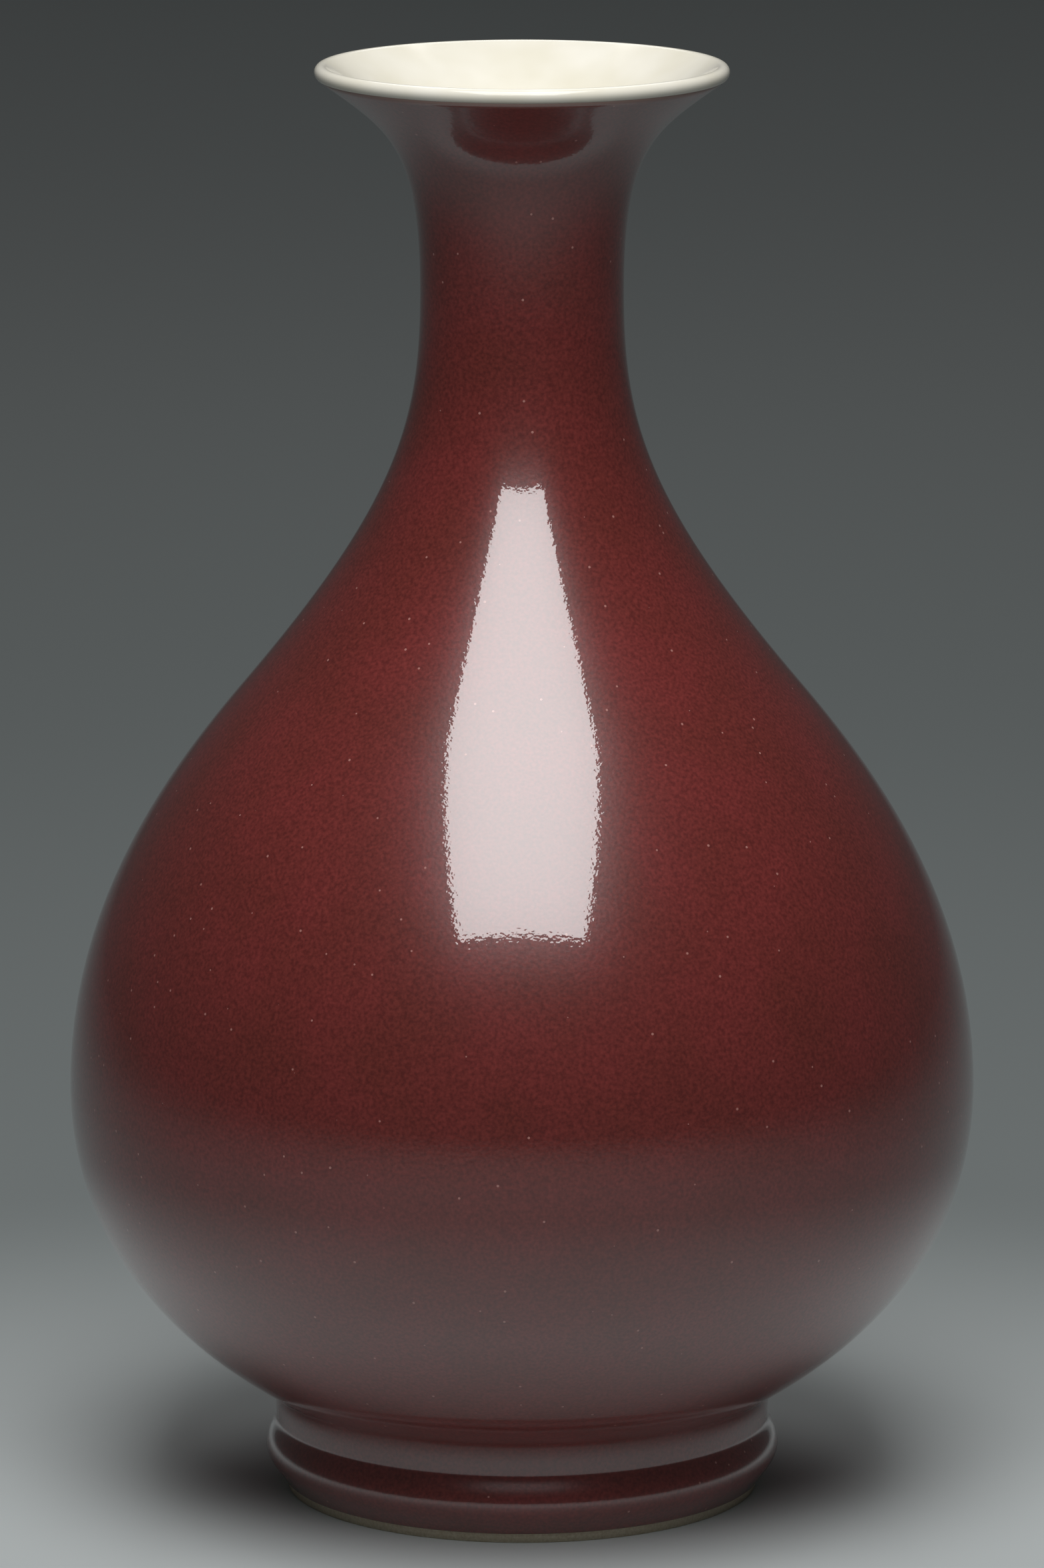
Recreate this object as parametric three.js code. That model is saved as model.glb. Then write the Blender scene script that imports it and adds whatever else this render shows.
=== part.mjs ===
// A pear-shaped porcelain bottle vase with a flared mouth and a copper-red glaze.
// It is thrown in three sections that are luted with slip, turned at the foot, and glazed outside and inside.
// Millimetres, +Z up, origin at the centre of the foot on the ground.
import * as THREE from "three";

// Stations of the outside, glaze included: radius and height, from the foot to the lip
const contactRadius = 49.0;
const glazeLine = { radius: 49.35, height: 2.1 };
const footBulge = { radius: 53.0, height: 8.6 };
const waist = { radius: 50.9, height: 14.8 };
const heel = { radius: 53.05, height: 21.9, slope: 31.5 };
const belly = { radius: 92.85, height: 84.7 };
const shoulder = { radius: 56.95, height: 167.7, slope: 130.0 };
const neck = { radius: 20.65, height: 249.3 };
const lip = { radius: 41.3, height: 292.2, slope: 36.1 };

// How long each curve keeps the direction that it leaves or meets a station in
const footLeave = 2.5;
const footSlope = 60;
const bulgeMeet = 2.5;
const bulgeLeave = 3.0;
const waistMeet = 1.5;
const waistLeave = 3.4;
const heelMeet = 2.4;
const heelLeave = 21.9;
const bellyMeet = 32.7;
const bellyLeave = 38.4;
const shoulderMeet = 21.4;
const shoulderLeave = 49.7;
const neckMeet = 26.9;
const neckLeave = 29.7;
const lipMeet = 17.3;

// Glaze and clay thicknesses; a wall is measured from the outside of the glaze to the inside of the clay
const glazeThickness = 0.45;
const bondGap = 0.05;
const rimRadius = 1.54;
const neckWall = 4.0;
const shoulderWall = 4.6;
const bellyWall = 5.0;
const heelWall = 6.0;
const slipHalfHeight = 0.4;

// The turned underside and the thrown floor
const ringInnerRadius = 44.2;
const recessRadius = 43.0;
const recessHeight = 8.5;
const ringEdge = 0.6;
const recessGlazeEdge = 2.2;
const floorHeight = 15.5;
const floorSpread = 34;
const floorRise = 9;

// Facets
const segments = 40;
const bareSteps = 1;
const footSteps = 3;
const filletSteps = 2;
const heelSteps = 2;
const undersideSteps = 5;
const bellySteps = 4;
const shoulderSteps = 5;
const neckJointStep = 3;
const neckSteps = 5;
const rimSteps = 4;
const floorSteps = 4;

const copperRed = new THREE.MeshStandardMaterial({ color: 0x651f1d, roughness: 0.12, metalness: 0 });
const whiteGlaze = new THREE.MeshStandardMaterial({ color: 0xf3efe2, roughness: 0.15, metalness: 0 });
const porcelain = new THREE.MeshStandardMaterial({ color: 0xd9cfbd, roughness: 0.8, metalness: 0 });

const straightUp = 90;

function heading(degrees) {
  const angle = THREE.MathUtils.degToRad(degrees);
  return new THREE.Vector2(Math.cos(angle), Math.sin(angle));
}

function pointOf(station) {
  return new THREE.Vector2(station.radius, station.height);
}

// A curve that leaves one station in one direction and meets the next in another
function curveBetween(from, leaveSlope, leaveLength, to, meetSlope, meetLength) {
  const start = pointOf(from);
  const end = pointOf(to);
  const leave = start.clone().addScaledVector(heading(leaveSlope), leaveLength);
  const meet = end.clone().addScaledVector(heading(meetSlope), -meetLength);
  return new THREE.CubicBezierCurve(start, leave, meet, end);
}

// Points on a curve with the direction that faces out of the vase
function stationsAlong(curve, steps, withEnd = false) {
  const count = withEnd ? steps + 1 : steps;
  return Array.from({ length: count }, (_, i) => {
    const tangent = curve.getTangent(i / steps);
    return { point: curve.getPoint(i / steps), normal: new THREE.Vector2(tangent.y, -tangent.x) };
  });
}

function moved(station, along) {
  const tangent = new THREE.Vector2(-station.normal.y, station.normal.x);
  return { point: station.point.clone().addScaledVector(tangent, along), normal: station.normal };
}

function inset(station, depth) {
  return station.point.clone().addScaledVector(station.normal, -depth);
}

function makeOutline() {
  const contact = { radius: contactRadius, height: 0 };
  const bare = new THREE.LineCurve(pointOf(contact), pointOf(glazeLine));
  const foot = curveBetween(glazeLine, footSlope, footLeave, footBulge, straightUp, bulgeMeet);
  const fillet = curveBetween(footBulge, straightUp, bulgeLeave, waist, straightUp, waistMeet);
  const heelCurve = curveBetween(waist, straightUp, waistLeave, heel, heel.slope, heelMeet);
  const underside = curveBetween(heel, heel.slope, heelLeave, belly, straightUp, bellyMeet);
  const upperBelly = curveBetween(belly, straightUp, bellyLeave, shoulder, shoulder.slope, shoulderMeet);
  const shoulderCurve = curveBetween(shoulder, shoulder.slope, shoulderLeave, neck, straightUp, neckMeet);
  const neckCurve = curveBetween(neck, straightUp, neckLeave, lip, lip.slope, lipMeet);
  const [bellyJoint, ...bellyStations] = stationsAlong(upperBelly, bellySteps);
  const shoulderStations = stationsAlong(shoulderCurve, shoulderSteps);
  const neckJoint = shoulderStations[neckJointStep];
  return {
    bellyJoint,
    neckJoint,
    bare: stationsAlong(bare, bareSteps),
    foot: [
      ...stationsAlong(foot, footSteps),
      ...stationsAlong(fillet, filletSteps),
      ...stationsAlong(heelCurve, heelSteps),
    ],
    lower: [...stationsAlong(underside, undersideSteps), moved(bellyJoint, -slipHalfHeight)],
    upper: [
      moved(bellyJoint, slipHalfHeight),
      ...bellyStations,
      ...shoulderStations.slice(0, neckJointStep),
      moved(neckJoint, -slipHalfHeight),
    ],
    neck: [
      moved(neckJoint, slipHalfHeight),
      ...shoulderStations.slice(neckJointStep + 1),
      ...stationsAlong(neckCurve, neckSteps),
    ],
    lip: stationsAlong(neckCurve, neckSteps, true).pop(),
  };
}

const outline = makeOutline();
const clayDepth = glazeThickness + bondGap;
const liningDepth = glazeThickness + bondGap;
const lipWall = 2 * rimRadius - liningDepth;

// Depth of the clay's inner face at a height, between the stated walls
function wallDepth(height) {
  const walls = [
    [heel.height, heelWall],
    [belly.height, bellyWall],
    [shoulder.height, shoulderWall],
    [neck.height, neckWall],
    [lip.height, lipWall],
  ];
  for (let i = 1; i < walls.length; i += 1) {
    const [lowHeight, lowWall] = walls[i - 1];
    const [highHeight, highWall] = walls[i];
    if (height <= highHeight) {
      return THREE.MathUtils.mapLinear(height, lowHeight, highHeight, lowWall, highWall);
    }
  }
  return lipWall;
}

function outerFace(stations, depth) {
  return stations.map((station) => inset(station, depth));
}

function innerFace(stations, extra) {
  return stations.map((station) => inset(station, wallDepth(station.point.y) + extra));
}

// The thrown floor inside, from the wall down to the axis
function floorFace(extra) {
  const [wallPoint] = innerFace([outline.lower[1]], extra);
  const middle = new THREE.Vector2(0, floorHeight + extra);
  const outer = wallPoint.clone().add(new THREE.Vector2(-floorRise, -floorRise / 2));
  const curve = new THREE.CubicBezierCurve(wallPoint, outer, new THREE.Vector2(floorSpread, middle.y), middle);
  return curve.getPoints(floorSteps).slice(1);
}

// The rounded rim, from the outside of the lip over its top to the inside
function rimFace(depth, startAngle = 0) {
  const centre = inset(outline.lip, rimRadius);
  const first = outline.lip.normal.angle() + startAngle;
  const sweep = Math.PI - startAngle;
  return Array.from({ length: rimSteps + 1 }, (_, i) => {
    const angle = first + (sweep * i) / rimSteps;
    const spoke = new THREE.Vector2(Math.cos(angle), Math.sin(angle));
    return centre.clone().addScaledVector(spoke, rimRadius - depth);
  });
}

function closedLoop(points) {
  return [...points, points[0]];
}

// A turned solid: the profile is spun about the vase's own axis
function turned(name, profile, material) {
  const geometry = new THREE.LatheGeometry(profile, segments);
  geometry.rotateX(Math.PI / 2);
  const mesh = new THREE.Mesh(geometry, material);
  mesh.name = name;
  return mesh;
}

function lowerBody() {
  const outer = [...outline.bare, ...outline.foot, ...outline.lower];
  const profile = [
    new THREE.Vector2(0, recessHeight),
    new THREE.Vector2(recessRadius, recessHeight),
    new THREE.Vector2(ringInnerRadius, ringEdge),
    new THREE.Vector2(ringInnerRadius + ringEdge, 0),
    new THREE.Vector2(contactRadius - clayDepth - ringEdge, 0),
    ...outerFace(outer, clayDepth),
    ...innerFace(outline.lower.slice(1), 0).reverse(),
    ...floorFace(0),
  ];
  return turned("lower_body", profile, porcelain);
}

function upperBody() {
  const profile = [...outerFace(outline.upper, clayDepth), ...innerFace(outline.upper, 0).reverse()];
  return turned("upper_body", closedLoop(profile), porcelain);
}

function neckAndMouth() {
  const profile = [
    ...outerFace(outline.neck, clayDepth),
    ...rimFace(clayDepth),
    ...innerFace(outline.neck, 0).reverse(),
  ];
  return turned("neck_and_mouth", closedLoop(profile), porcelain);
}

// The layer of slip that joins two thrown sections
function slipJoint(name, joint) {
  const reach = slipHalfHeight - bondGap;
  const faces = [moved(joint, -reach), moved(joint, reach)];
  const profile = [...outerFace(faces, clayDepth), ...innerFace(faces, 0).reverse()];
  return turned(name, closedLoop(profile), porcelain);
}

function redCoat() {
  const stations = [...outline.foot, ...outline.lower, ...outline.upper, ...outline.neck, outline.lip];
  const profile = [...outerFace(stations, 0), ...outerFace(stations, glazeThickness).reverse()];
  return turned("red_glaze_coat", closedLoop(profile), copperRed);
}

// The white glaze lines the inside, runs over the rim and stops where the red begins
function whiteLining() {
  const stations = [...outline.lower.slice(1), ...outline.upper, ...outline.neck];
  const startAngle = bondGap / rimRadius;
  const profile = [
    ...floorFace(bondGap).reverse(),
    ...innerFace(stations, bondGap),
    ...rimFace(glazeThickness, startAngle).reverse(),
    ...rimFace(0, startAngle),
    ...innerFace(stations, liningDepth).reverse(),
    ...floorFace(liningDepth),
  ];
  return turned("white_glaze_lining", profile, whiteGlaze);
}

// The glaze in the recess under the base, stopping short of the bare foot ring
function recessGlaze() {
  const roof = recessHeight - bondGap;
  const taper = (ringInnerRadius - recessRadius) / (recessHeight - ringEdge);
  const wallTop = recessRadius - bondGap;
  const wallEdge = recessRadius + (recessHeight - recessGlazeEdge) * taper - bondGap;
  const profile = [
    new THREE.Vector2(0, roof - glazeThickness),
    new THREE.Vector2(wallTop - glazeThickness, roof - glazeThickness),
    new THREE.Vector2(wallEdge - glazeThickness, recessGlazeEdge),
    new THREE.Vector2(wallEdge, recessGlazeEdge),
    new THREE.Vector2(wallTop, roof),
    new THREE.Vector2(0, roof),
  ];
  return turned("recess_glaze", profile, whiteGlaze);
}

const vase = new THREE.Group();
vase.add(lowerBody());
vase.add(slipJoint("belly_slip_joint", outline.bellyJoint));
vase.add(upperBody());
vase.add(slipJoint("neck_slip_joint", outline.neckJoint));
vase.add(neckAndMouth());
vase.add(redCoat());
vase.add(whiteLining());
vase.add(recessGlaze());

export default vase;
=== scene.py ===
# A copper-red porcelain bottle vase on studio paper.
# Metres, +Z up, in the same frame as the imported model; the vase's own sizes are in millimetres.
import math

import bmesh
import bpy
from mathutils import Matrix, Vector


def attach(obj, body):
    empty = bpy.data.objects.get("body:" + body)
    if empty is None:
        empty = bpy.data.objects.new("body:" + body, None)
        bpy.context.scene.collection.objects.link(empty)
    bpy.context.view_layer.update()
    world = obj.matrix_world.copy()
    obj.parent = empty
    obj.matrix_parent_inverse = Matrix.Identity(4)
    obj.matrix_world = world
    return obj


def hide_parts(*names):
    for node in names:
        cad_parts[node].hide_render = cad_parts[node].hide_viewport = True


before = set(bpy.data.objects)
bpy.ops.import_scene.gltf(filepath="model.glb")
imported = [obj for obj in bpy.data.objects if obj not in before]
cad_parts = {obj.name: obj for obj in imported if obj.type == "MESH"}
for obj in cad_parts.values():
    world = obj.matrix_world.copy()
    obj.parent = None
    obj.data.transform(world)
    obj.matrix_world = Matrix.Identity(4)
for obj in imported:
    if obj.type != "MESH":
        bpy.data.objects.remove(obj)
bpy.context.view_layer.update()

MM = 0.001

# Stations of the outside, glaze included: radius and height, from the foot to the lip
CONTACT = (49.0, 0.0)
GLAZE_LINE = (49.35, 2.1)
FOOT_BULGE = (53.0, 8.6)
WAIST = (50.9, 14.8)
HEEL = (53.05, 21.9)
BELLY = (92.85, 84.7)
SHOULDER = (56.95, 167.7)
NECK = (20.65, 249.3)
LIP = (41.3, 292.2)

# Slope of the outside at its stations, in degrees
STRAIGHT_UP = 90.0
FOOT_SLOPE = 60.0
HEEL_SLOPE = 31.5
SHOULDER_SLOPE = 130.0
LIP_SLOPE = 36.1

# How long each curve keeps the direction that it leaves or meets a station in
FOOT_LEAVE = 2.5
BULGE_MEET = 2.5
BULGE_LEAVE = 3.0
WAIST_MEET = 1.5
WAIST_LEAVE = 3.4
HEEL_MEET = 2.4
HEEL_LEAVE = 21.9
BELLY_MEET = 32.7
BELLY_LEAVE = 38.4
SHOULDER_MEET = 21.4
SHOULDER_LEAVE = 49.7
NECK_MEET = 26.9
NECK_LEAVE = 29.7
LIP_MEET = 17.3

# Glaze and clay; a wall is measured from the outside of the glaze to the inside of the clay
GLAZE = 0.45
BOND_GAP = 0.05
RIM_RADIUS = 1.54
HEEL_WALL = 6.0
BELLY_WALL = 5.0
SHOULDER_WALL = 4.6
NECK_WALL = 4.0
SLIP_HALF = 0.4
CLAY_DEPTH = GLAZE + BOND_GAP
LIP_WALL = 2 * RIM_RADIUS - CLAY_DEPTH

# The turned underside and the thrown floor
RING_INNER = 44.2
RECESS_RADIUS = 43.0
RECESS_HEIGHT = 8.5
RING_EDGE = 0.6
RECESS_GLAZE_EDGE = 2.2
FLOOR_HEIGHT = 15.5
FLOOR_SPREAD = 34.0
FLOOR_RISE = 9.0

# Fineness, and the places on a curve where the neck is luted on and where the floor meets the wall
FACETS_ROUND = 192
CURVE_STEPS = 24
NECK_JOINT_AT = 0.6
FLOOR_START = CURVE_STEPS // 5

# A point of a profile that is nearer to the axis than this lies on it
ON_AXIS = 1e-6


def heading(degrees):
    angle = math.radians(degrees)
    return Vector((math.cos(angle), math.sin(angle)))


def outward(tangent):
    """The direction out of the vase, for a tangent that runs from the foot towards the lip."""
    return Vector((tangent.y, -tangent.x))


def curve_point(a, b, c, d, t):
    s = 1 - t
    return a * s**3 + b * (3 * s * s * t) + c * (3 * s * t * t) + d * t**3


def curve_stations(start, leave_slope, leave, end, meet_slope, meet, first=0.0, last=1.0):
    """Points on a curve between two stations, each with the direction that faces out of the vase."""
    a = Vector(start)
    b = a + heading(leave_slope) * leave
    d = Vector(end)
    c = d - heading(meet_slope) * meet
    stations = []
    for step in range(CURVE_STEPS):
        t = first + (last - first) * step / CURVE_STEPS
        s = 1 - t
        tangent = ((b - a) * (s * s) + (c - b) * (2 * s * t) + (d - c) * (t * t)).normalized()
        stations.append((curve_point(a, b, c, d, t), outward(tangent)))
    return stations


def moved(station, along):
    """A station shifted along the outline, towards the lip."""
    point, normal = station
    return point + Vector((-normal.y, normal.x)) * along, normal


# The outside, from the foot to the lip, and the joints between its thrown sections
bare = [(Vector(CONTACT), outward((Vector(GLAZE_LINE) - Vector(CONTACT)).normalized()))]
foot = (
    curve_stations(GLAZE_LINE, FOOT_SLOPE, FOOT_LEAVE, FOOT_BULGE, STRAIGHT_UP, BULGE_MEET)
    + curve_stations(FOOT_BULGE, STRAIGHT_UP, BULGE_LEAVE, WAIST, STRAIGHT_UP, WAIST_MEET)
    + curve_stations(WAIST, STRAIGHT_UP, WAIST_LEAVE, HEEL, HEEL_SLOPE, HEEL_MEET)
)
underside = curve_stations(HEEL, HEEL_SLOPE, HEEL_LEAVE, BELLY, STRAIGHT_UP, BELLY_MEET)
belly = curve_stations(BELLY, STRAIGHT_UP, BELLY_LEAVE, SHOULDER, SHOULDER_SLOPE, SHOULDER_MEET)
shoulder_curve = (SHOULDER, SHOULDER_SLOPE, SHOULDER_LEAVE, NECK, STRAIGHT_UP, NECK_MEET)
shoulder = curve_stations(*shoulder_curve, last=NECK_JOINT_AT)
neck_base = curve_stations(*shoulder_curve, first=NECK_JOINT_AT)
neck = curve_stations(NECK, STRAIGHT_UP, NECK_LEAVE, LIP, LIP_SLOPE, LIP_MEET)
lip_station = (Vector(LIP), outward(heading(LIP_SLOPE)))
belly_joint = belly[0]
neck_joint = neck_base[0]
lower = underside + [moved(belly_joint, -SLIP_HALF)]
inside_lower = lower[FLOOR_START:]
upper = [moved(belly_joint, SLIP_HALF)] + belly[1:] + shoulder + [moved(neck_joint, -SLIP_HALF)]
neck_section = [moved(neck_joint, SLIP_HALF)] + neck_base[1:] + neck


def wall_depth(height):
    """Depth of the clay's inner face at a height, between the stated walls."""
    walls = (
        (HEEL[1], HEEL_WALL),
        (BELLY[1], BELLY_WALL),
        (SHOULDER[1], SHOULDER_WALL),
        (NECK[1], NECK_WALL),
        (LIP[1], LIP_WALL),
    )
    for (low, low_wall), (high, high_wall) in zip(walls, walls[1:]):
        if height <= high:
            return low_wall + (high_wall - low_wall) * (height - low) / (high - low)
    return LIP_WALL


def outer_face(stations, depth):
    return [point - normal * depth for point, normal in stations]


def inner_face(stations, extra):
    return [point - normal * (wall_depth(point.y) + extra) for point, normal in stations]


def floor_face(extra):
    """The thrown floor inside, from the wall to the axis."""
    wall = inner_face([underside[FLOOR_START]], extra)[0]
    middle = Vector((0.0, FLOOR_HEIGHT + extra))
    bend = wall + Vector((-FLOOR_RISE, -FLOOR_RISE / 2))
    flat = Vector((FLOOR_SPREAD, middle.y))
    points = []
    for step in range(1, CURVE_STEPS + 1):
        points.append(curve_point(wall, bend, flat, middle, step / CURVE_STEPS))
    return points


def rim_face(depth, start_angle=0.0):
    """The rounded rim, from the outside of the lip over its top to the inside."""
    point, normal = lip_station
    centre = point - normal * RIM_RADIUS
    first = math.atan2(normal.y, normal.x) + start_angle
    sweep = math.pi - start_angle
    points = []
    for step in range(CURVE_STEPS + 1):
        angle = first + sweep * step / CURVE_STEPS
        points.append(centre + Vector((math.cos(angle), math.sin(angle))) * (RIM_RADIUS - depth))
    return points


def srgb(hex_colour):
    """An sRGB hex colour as the linear values that the shader reads."""
    channels = [int(hex_colour[i:i + 2], 16) / 255 for i in (1, 3, 5)]
    linear = [c / 12.92 if c <= 0.04045 else ((c + 0.055) / 1.055) ** 2.4 for c in channels]
    return (*linear, 1.0)


def add_node(tree, kind, settings=None, **links):
    """Adds a node. A link's name is a socket's name, or i and a number for a socket counted from 0."""
    node = tree.nodes.new(kind)
    for name, value in (settings or {}).items():
        setattr(node, name, value)
    for name, value in links.items():
        numbered = name[0] == "i" and name[1:].isdigit()
        socket = node.inputs[int(name[1:])] if numbered else node.inputs[name.replace("_", " ")]
        if isinstance(value, bpy.types.NodeSocket):
            tree.links.new(value, socket)
        else:
            socket.default_value = value
    return node


def colour_ramp(tree, factor, low, high):
    """Blends from one hex colour to another between two values of the factor."""
    ramp = add_node(tree, "ShaderNodeValToRGB", Fac=factor)
    for element, (place, hex_colour) in zip(ramp.color_ramp.elements, (low, high)):
        element.position = place
        element.color = srgb(hex_colour)
    return ramp.outputs["Color"]


def mix_colour(tree, factor, first, second, blend="MIX"):
    settings = {"data_type": "RGBA", "blend_type": blend}
    return add_node(tree, "ShaderNodeMix", settings, i0=factor, i6=first, i7=second).outputs[2]


def math_node(tree, operation, first, second):
    settings = {"operation": operation}
    return add_node(tree, "ShaderNodeMath", settings, i0=first, i1=second).outputs[0]


def soft_step(tree, value, low, high):
    """0 below one value and 1 above another, with a smooth change between them."""
    settings = {"interpolation_type": "SMOOTHSTEP"}
    step = add_node(tree, "ShaderNodeMapRange", settings, Value=value, From_Min=low, From_Max=high)
    return step.outputs[0]


def noise(tree, position, size_mm, detail):
    """Cloudy noise whose features are about the given size across."""
    scale = 1 / (size_mm * MM)
    texture = add_node(tree, "ShaderNodeTexNoise", Vector=position, Scale=scale, Detail=detail)
    return texture.outputs["Fac"]


def new_material(name):
    material = bpy.data.materials.new(name)
    material.use_nodes = True
    tree = material.node_tree
    tree.nodes.clear()
    shader = add_node(tree, "ShaderNodeBsdfPrincipled")
    output = add_node(tree, "ShaderNodeOutputMaterial")
    tree.links.new(shader.outputs["BSDF"], output.inputs["Surface"])
    position = add_node(tree, "ShaderNodeTexCoord").outputs["Object"]
    return material, tree, shader, position


# Copper-red glaze: fired thick and glassy over a rougher red layer, so a sharp reflection sits in a soft
# haze. Its red is mottled by flecks and broad clouds, with a few pale pinholes, and it thins to pink at
# the lip. The flecks and pinholes of such a glaze are finer; here they are as coarse as they need to show.
# The coat's IOR is above a real glaze's, so that the long highlight is nearly as bright as it should be.
def copper_red_glaze():
    material, tree, shader, position = new_material("copper_red_glaze")
    fleck_mm = 0.7
    cloud_mm = 16.0
    peel_mm = 0.8
    peel_depth_mm = 0.018
    peel_strength = 0.8
    pinhole_spacing_mm = 4.5
    pinhole_radius_mm = 0.26
    pinhole_share = 0.8
    thin_band_mm = 1.3

    fleck = noise(tree, position, fleck_mm, detail=3.0)
    cloud = noise(tree, position, cloud_mm, detail=3.0)
    red = colour_ramp(tree, fleck, (0.32, "#642624"), (0.7, "#843a36"))
    tint = colour_ramp(tree, cloud, (0.32, "#ecdcd0"), (0.66, "#ffe4e6"))
    mottled = mix_colour(tree, 1.0, red, tint, "MULTIPLY")

    cell_scale = 1 / (pinhole_spacing_mm * MM)
    cells = add_node(tree, "ShaderNodeTexVoronoi", Vector=position, Scale=cell_scale)
    radius_in_cells = pinhole_radius_mm / pinhole_spacing_mm
    near = math_node(tree, "LESS_THAN", cells.outputs["Distance"], radius_in_cells)
    chosen = math_node(tree, "LESS_THAN", cells.outputs["Color"], pinhole_share)
    pinhole = math_node(tree, "MULTIPLY", near, chosen)
    speckled = mix_colour(tree, pinhole, mottled, srgb("#b47c74"))

    height = add_node(tree, "ShaderNodeSeparateXYZ", Vector=position).outputs["Z"]
    thin_from = (LIP[1] - thin_band_mm) * MM
    thin_to = LIP[1] * MM
    thinned = add_node(tree, "ShaderNodeMapRange", Value=height, From_Min=thin_from, From_Max=thin_to)
    glaze = mix_colour(tree, thinned.outputs["Result"], speckled, srgb("#a8867a"))
    tree.links.new(glaze, shader.inputs["Base Color"])

    peel = noise(tree, position, peel_mm, detail=1.0)
    depth = peel_depth_mm * MM
    bump = add_node(tree, "ShaderNodeBump", Height=peel, Strength=peel_strength, Distance=depth)
    tree.links.new(bump.outputs["Normal"], shader.inputs["Normal"])
    tree.links.new(bump.outputs["Normal"], shader.inputs["Coat Normal"])
    shader.inputs["Roughness"].default_value = 0.3
    shader.inputs["IOR"].default_value = 1.5
    shader.inputs["Coat Weight"].default_value = 1.0
    shader.inputs["Coat Roughness"].default_value = 0.02
    shader.inputs["Coat IOR"].default_value = 1.8
    return material


# Clear glaze over white porcelain: creamy white, glossy, with a faint unevenness
def white_glaze():
    material, tree, shader, position = new_material("white_glaze")
    cloud_mm = 14.0
    cloud = noise(tree, position, cloud_mm, detail=2.0)
    tint = colour_ramp(tree, cloud, (0.3, "#e6e1d0"), (0.7, "#f0ece0"))
    tree.links.new(tint, shader.inputs["Base Color"])
    shader.inputs["Roughness"].default_value = 0.12
    shader.inputs["IOR"].default_value = 1.5
    return material


# Bare fired porcelain: matt, pale buff, with a fine grain
def bare_porcelain():
    material, tree, shader, position = new_material("bare_porcelain")
    grain_mm = 0.5
    grain_depth_mm = 0.1
    grain_strength = 0.3
    grain = noise(tree, position, grain_mm, detail=4.0)
    tint = colour_ramp(tree, grain, (0.3, "#bfb096"), (0.7, "#d8cdb8"))
    tree.links.new(tint, shader.inputs["Base Color"])
    depth = grain_depth_mm * MM
    bump = add_node(tree, "ShaderNodeBump", Height=grain, Strength=grain_strength, Distance=depth)
    tree.links.new(bump.outputs["Normal"], shader.inputs["Normal"])
    shader.inputs["Roughness"].default_value = 0.85
    return material


# Studio paper: matt, and pale at the vase. Its tone is painted shade and painted light: it dips to a
# mid-grey band of painted shade further out, and far away, where little light falls, it is painted pale
# again as painted light. So the floor looks softly greyer with distance, alike on all sides.
def studio_paper():
    material, tree, shader, position = new_material("studio_paper")
    pale_to = 0.06
    grey_from = 0.28
    grey_to = 0.75
    pale_again_from = 2.6
    length = add_node(tree, "ShaderNodeVectorMath", {"operation": "LENGTH"}, i0=position)
    from_vase = length.outputs["Value"]
    # Painted shade: the paper turns to a mid-grey band round the vase
    painted_shade_band = soft_step(tree, from_vase, pale_to, grey_from)
    # Painted light: far out, where little light falls, the paper is painted pale again
    painted_far_light = soft_step(tree, from_vase, grey_to, pale_again_from)
    painted_shade_and_far_light = mix_colour(tree, painted_far_light, srgb("#888e8e"), srgb("#e2e7e7"))
    paper = mix_colour(tree, painted_shade_band, srgb("#c8cece"), painted_shade_and_far_light)
    tree.links.new(paper, shader.inputs["Base Color"])
    shader.inputs["Roughness"].default_value = 0.95
    shader.inputs["Specular IOR Level"].default_value = 0.2
    return material


def ring_of_vertices(mesh, point):
    """One turned ring, or a single vertex where the profile meets the axis."""
    if point.x < ON_AXIS:
        return [mesh.verts.new((0.0, 0.0, point.y * MM))]
    ring = []
    for facet in range(FACETS_ROUND):
        angle = 2 * math.pi * facet / FACETS_ROUND
        radius = point.x * MM
        ring.append(mesh.verts.new((radius * math.cos(angle), radius * math.sin(angle), point.y * MM)))
    return ring


def turned(name, profile, material, node, closed=False):
    """Spins a profile in millimetres about the vase's own axis, and hides the imported solid that it
    stands for.
    """
    mesh = bmesh.new()
    rings = [ring_of_vertices(mesh, point) for point in profile]
    pairs = list(zip(rings, rings[1:]))
    if closed:
        pairs.append((rings[-1], rings[0]))
    for low, high in pairs:
        for facet in range(FACETS_ROUND):
            after = (facet + 1) % FACETS_ROUND
            low_corners = [low[facet % len(low)], low[after % len(low)]]
            high_corners = [high[after % len(high)], high[facet % len(high)]]
            mesh.faces.new(list(dict.fromkeys(low_corners + high_corners)))
    bmesh.ops.recalc_face_normals(mesh, faces=mesh.faces)
    data = bpy.data.meshes.new(name)
    mesh.to_mesh(data)
    mesh.free()
    for face in data.polygons:
        face.use_smooth = True
    data.materials.append(material)
    piece = bpy.data.objects.new(name, data)
    bpy.context.scene.collection.objects.link(piece)
    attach(piece, "root")
    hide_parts(node)


def lower_clay(clay):
    """The lower half with its foot: turned underside, outside, inside wall and thrown floor."""
    turned_underside = [
        Vector((0.0, RECESS_HEIGHT)),
        Vector((RECESS_RADIUS, RECESS_HEIGHT)),
        Vector((RING_INNER, RING_EDGE)),
        Vector((RING_INNER + RING_EDGE, 0.0)),
        Vector((CONTACT[0] - CLAY_DEPTH - RING_EDGE, 0.0)),
    ]
    profile = (
        turned_underside
        + outer_face(bare + foot + lower, CLAY_DEPTH)
        + inner_face(inside_lower, 0)[::-1]
        + floor_face(0)
    )
    turned("lower_clay", profile, clay, "lower_body")


def upper_clay(clay):
    profile = outer_face(upper, CLAY_DEPTH) + inner_face(upper, 0)[::-1]
    turned("upper_clay", profile, clay, "upper_body", closed=True)


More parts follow.
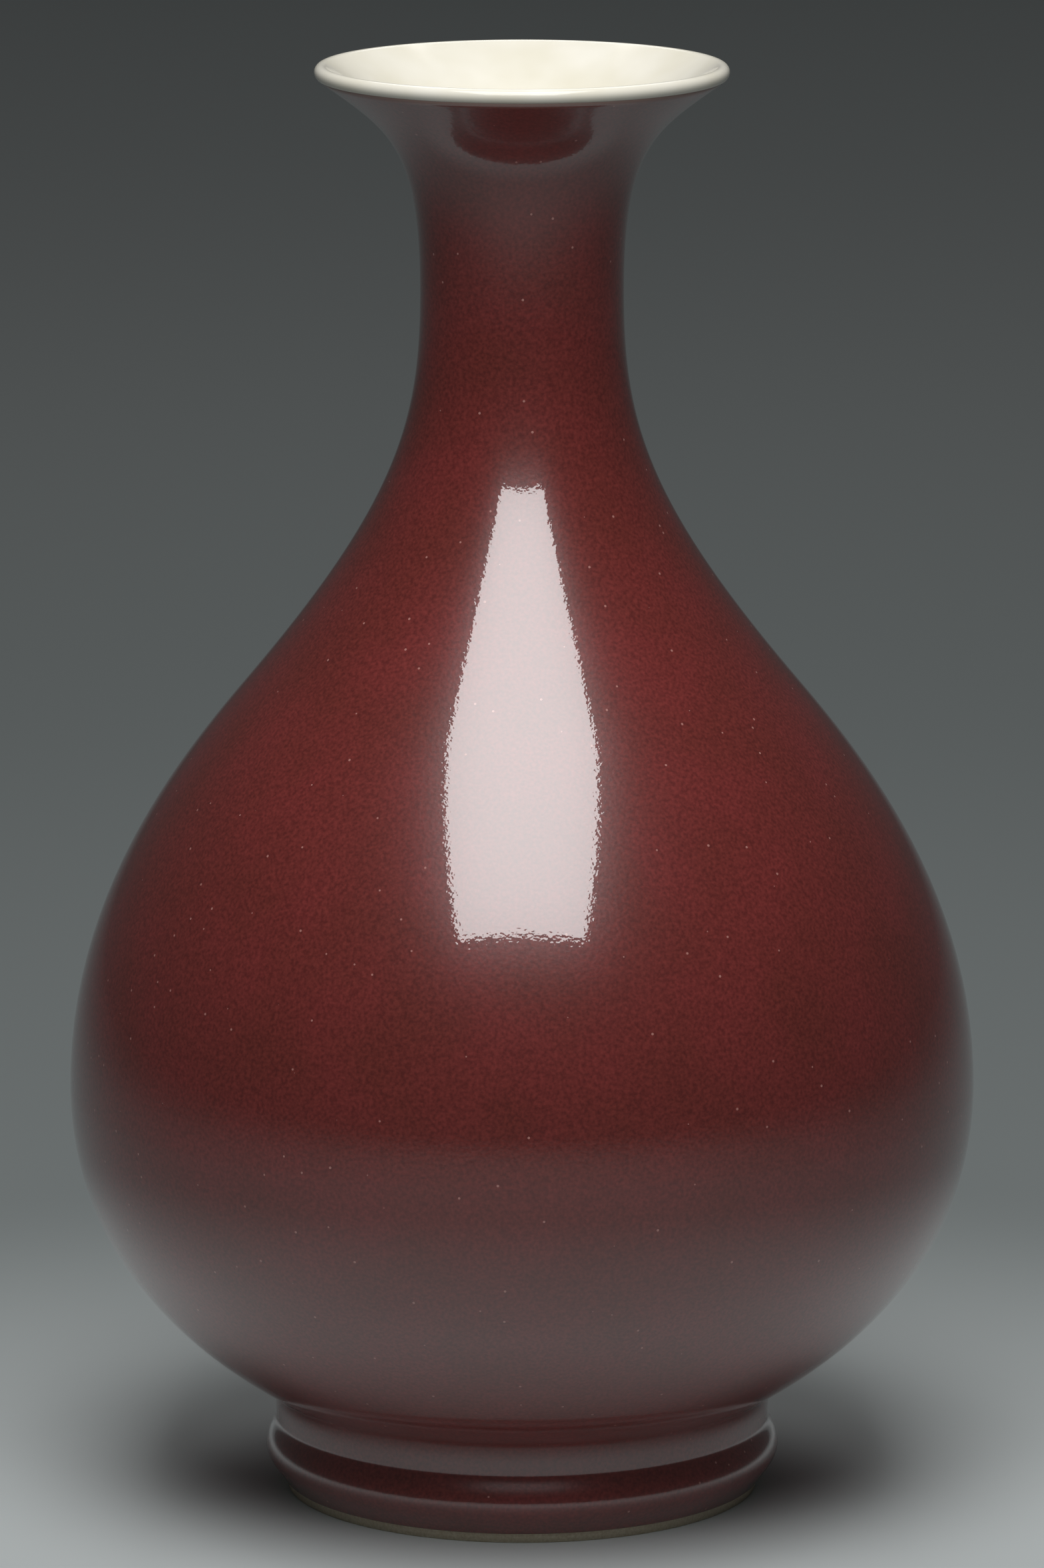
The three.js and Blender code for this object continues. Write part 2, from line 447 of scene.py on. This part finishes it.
def neck_clay(clay):
    outside = outer_face(neck_section, CLAY_DEPTH)
    inside = inner_face(neck_section, 0)[::-1]
    profile = outside + rim_face(CLAY_DEPTH) + inside
    turned("neck_clay", profile, clay, "neck_and_mouth", closed=True)


def slip_layer(name, joint, clay, node):
    """The layer of slip that joins two thrown sections."""
    reach = SLIP_HALF - BOND_GAP
    faces = [moved(joint, -reach), moved(joint, reach)]
    profile = outer_face(faces, CLAY_DEPTH) + inner_face(faces, 0)[::-1]
    turned(name, profile, clay, node, closed=True)


def red_coat(red):
    coated = foot + lower + upper + neck_section + [lip_station]
    profile = outer_face(coated, 0) + outer_face(coated, GLAZE)[::-1]
    turned("red_coat", profile, red, "red_glaze_coat", closed=True)


def white_lining(white):
    """White glaze over the inside and the rim, stopping where the red begins."""
    lined = inside_lower + upper + neck_section
    start_angle = BOND_GAP / RIM_RADIUS
    profile = (
        floor_face(BOND_GAP)[::-1]
        + inner_face(lined, BOND_GAP)
        + rim_face(GLAZE, start_angle)[::-1]
        + rim_face(0, start_angle)
        + inner_face(lined, CLAY_DEPTH)[::-1]
        + floor_face(CLAY_DEPTH)
    )
    turned("white_lining", profile, white, "white_glaze_lining")


def recess_coat(white):
    """White glaze in the recess under the base, stopping short of the bare foot ring."""
    roof = RECESS_HEIGHT - BOND_GAP
    taper = (RING_INNER - RECESS_RADIUS) / (RECESS_HEIGHT - RING_EDGE)
    wall_top = RECESS_RADIUS - BOND_GAP
    wall_edge = RECESS_RADIUS + (RECESS_HEIGHT - RECESS_GLAZE_EDGE) * taper - BOND_GAP
    profile = [
        Vector((0.0, roof - GLAZE)),
        Vector((wall_top - GLAZE, roof - GLAZE)),
        Vector((wall_edge - GLAZE, RECESS_GLAZE_EDGE)),
        Vector((wall_edge, RECESS_GLAZE_EDGE)),
        Vector((wall_top, roof)),
        Vector((0.0, roof)),
    ]
    turned("recess_coat", profile, white, "recess_glaze")


def make_vase():
    red = copper_red_glaze()
    white = white_glaze()
    clay = bare_porcelain()
    lower_clay(clay)
    upper_clay(clay)
    neck_clay(clay)
    slip_layer("belly_slip", belly_joint, clay, "belly_slip_joint")
    slip_layer("neck_slip", neck_joint, clay, "neck_slip_joint")
    red_coat(red)
    white_lining(white)
    recess_coat(white)


def make_floor():
    """An open round floor, so that the vase can be seen from every side."""
    reach = 3.2
    sides = 96
    corners = []
    for side in range(sides):
        angle = 2 * math.pi * side / sides
        corners.append((reach * math.cos(angle), reach * math.sin(angle), 0.0))
    data = bpy.data.meshes.new("floor")
    data.from_pydata(corners, [], [tuple(range(sides))])
    data.materials.append(studio_paper())
    floor = bpy.data.objects.new("floor", data)
    bpy.context.scene.collection.objects.link(floor)


def soft_box(name, outer_edge, width, depth, power):
    """A soft box overhead that rises a little from its outer edge towards the vase."""
    tilt = math.radians(12)
    side = math.copysign(1.0, outer_edge.y)
    light = bpy.data.lights.new(name, "AREA")
    light.shape = "RECTANGLE"
    light.size = width
    light.size_y = depth
    light.energy = power
    lamp = bpy.data.objects.new(name, light)
    lamp.location = outer_edge + Vector((0.0, -side * math.cos(tilt), math.sin(tilt))) * (depth / 2)
    lamp.rotation_euler = (-side * tilt, 0.0, 0.0)
    bpy.context.scene.collection.objects.link(lamp)


def make_light():
    """A soft box in front, placed by the long highlight on the shoulder, a weaker one for the back, and
    a dim grey world all round."""
    world_strength = 0.09
    soft_box("front_box", outer_edge=Vector((0.0, -0.8265, 0.786)), width=0.585, depth=0.8, power=7.5)
    soft_box("back_box", outer_edge=Vector((0.0, 1.1, 0.9)), width=0.6, depth=0.7, power=2.2)
    world = bpy.data.worlds.new("studio")
    world.use_nodes = True
    background = world.node_tree.nodes["Background"]
    background.inputs["Color"].default_value = srgb("#b4b8b8")
    background.inputs["Strength"].default_value = world_strength
    bpy.context.scene.world = world


def make_camera():
    """The photograph's view: a long lens a little above the vase."""
    distance = 1.9586
    height = 0.5392
    pitch = 11.322
    focal_px = 14669.8
    photo_height_px = 2354
    sensor_mm = 36.0
    data = bpy.data.cameras.new("camera")
    data.sensor_width = sensor_mm
    data.lens = focal_px * sensor_mm / photo_height_px
    camera = bpy.data.objects.new("camera", data)
    camera.location = (0.0, -distance, height)
    camera.rotation_euler = (math.radians(90 - pitch), 0.0, 0.0)
    bpy.context.scene.collection.objects.link(camera)
    bpy.context.scene.camera = camera


make_camera()
make_vase()
make_floor()
make_light()
bpy.context.scene.view_settings.view_transform = "Standard"
